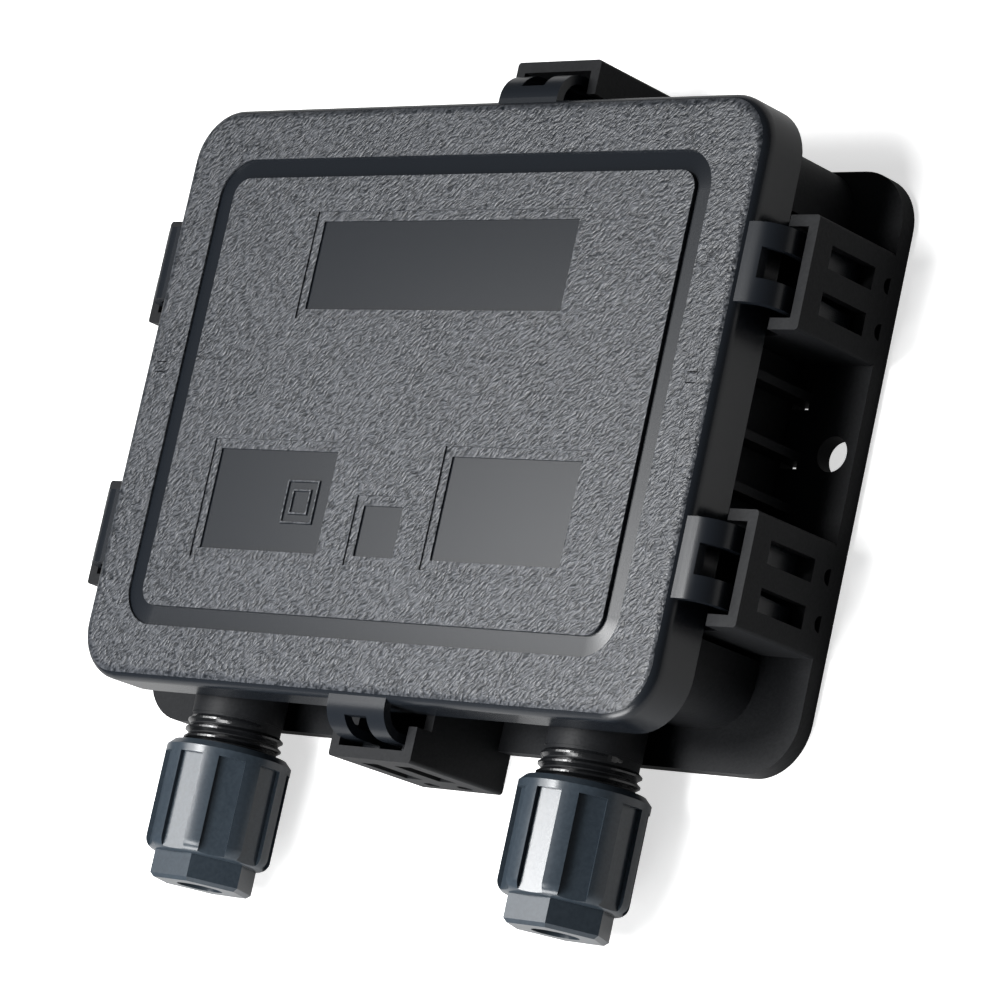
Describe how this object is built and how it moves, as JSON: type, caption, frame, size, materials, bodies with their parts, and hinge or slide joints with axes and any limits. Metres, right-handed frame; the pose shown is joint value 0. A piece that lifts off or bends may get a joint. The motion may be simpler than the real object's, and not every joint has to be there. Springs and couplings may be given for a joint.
{
  "type": "pv junction box",
  "caption": "Flanged solar panel junction box with a clip-on lid, cable glands, terminal rails and bypass diodes.",
  "frame": {"origin": "centre of the box on the back face of the mounting flange", "axes": "+Z out of the lid, +Y up the box, the cable glands point along -Y"},
  "size_m": [0.1414, 0.1354, 0.0276],
  "materials": {
    "housing": "textured",
    "nut": "satin",
    "rubber": "matte",
    "contact": "tinned",
    "spring": "bright",
    "fastener": "zinc plated",
    "diode": "moulded"
  },
  "bodies": {
    "base": {"base_housing": "housing", "lid_gasket": "rubber", "terminal_rail_1": "contact", "terminal_rail_2": "contact", "terminal_rail_3": "contact", "terminal_rail_4": "contact", "ribbon_clip_1": "spring", "ribbon_clip_2": "spring", "ribbon_clip_3": "spring", "ribbon_clip_4": "spring", "bypass_diode_1": "diode", "bypass_diode_2": "diode", "bypass_diode_3": "diode", "rail_screws": "fastener", "gland_seal_left": "rubber", "gland_seal_right": "rubber"},
    "lid": {"lid": "housing"},
    "claw_left": {"gland_claw_left": "nut"},
    "nut_left": {"gland_nut_left": "nut"},
    "plate_left": {"clamp_plate_left": "fastener"},
    "screw_left": {"clamp_screw_left": "fastener"},
    "claw_right": {"gland_claw_right": "nut"},
    "nut_right": {"gland_nut_right": "nut"},
    "plate_right": {"clamp_plate_right": "fastener"},
    "screw_right": {"clamp_screw_right": "fastener"}
  },
  "joints": [
    {"name": "lid_lift", "type": "slide", "parent": "base", "child": "lid", "axis": [0, 0, 1], "range_m": [0, 0.03]},
    {"name": "gland_feed_left", "type": "slide", "parent": "base", "child": "claw_left", "axis": [0, -1, 0], "range_m": [0, 0.0045]},
    {"name": "gland_turn_left", "type": "hinge", "parent": "claw_left", "child": "nut_left", "pos_m": [-0.039, -0.056, 0.0111], "axis": [0, -1, 0], "range_deg": [0, 1080]},
    {"name": "clamp_lift_left", "type": "slide", "parent": "base", "child": "plate_left", "axis": [0, 0, 1], "range_m": [0, 0.0021]},
    {"name": "clamp_turn_left", "type": "hinge", "parent": "plate_left", "child": "screw_left", "pos_m": [-0.039, -0.02, 0.0107], "axis": [0, 0, 1], "range_deg": [0, 1080]},
    {"name": "gland_feed_right", "type": "slide", "parent": "base", "child": "claw_right", "axis": [0, -1, 0], "range_m": [0, 0.0045]},
    {"name": "gland_turn_right", "type": "hinge", "parent": "claw_right", "child": "nut_right", "pos_m": [0.039, -0.056, 0.0111], "axis": [0, -1, 0], "range_deg": [0, 1080]},
    {"name": "clamp_lift_right", "type": "slide", "parent": "base", "child": "plate_right", "axis": [0, 0, 1], "range_m": [0, 0.0021]},
    {"name": "clamp_turn_right", "type": "hinge", "parent": "plate_right", "child": "screw_right", "pos_m": [0.039, -0.02, 0.0107], "axis": [0, 0, 1], "range_deg": [0, 1080]}
  ],
  "couplings": [
    {"joint": "gland_turn_left", "follows": "gland_feed_left", "rad_per_m": 4188.8},
    {"joint": "clamp_turn_left", "follows": "clamp_lift_left", "rad_per_m": 8976},
    {"joint": "gland_turn_right", "follows": "gland_feed_right", "rad_per_m": 4188.8},
    {"joint": "clamp_turn_right", "follows": "clamp_lift_right", "rad_per_m": 8976}
  ]
}
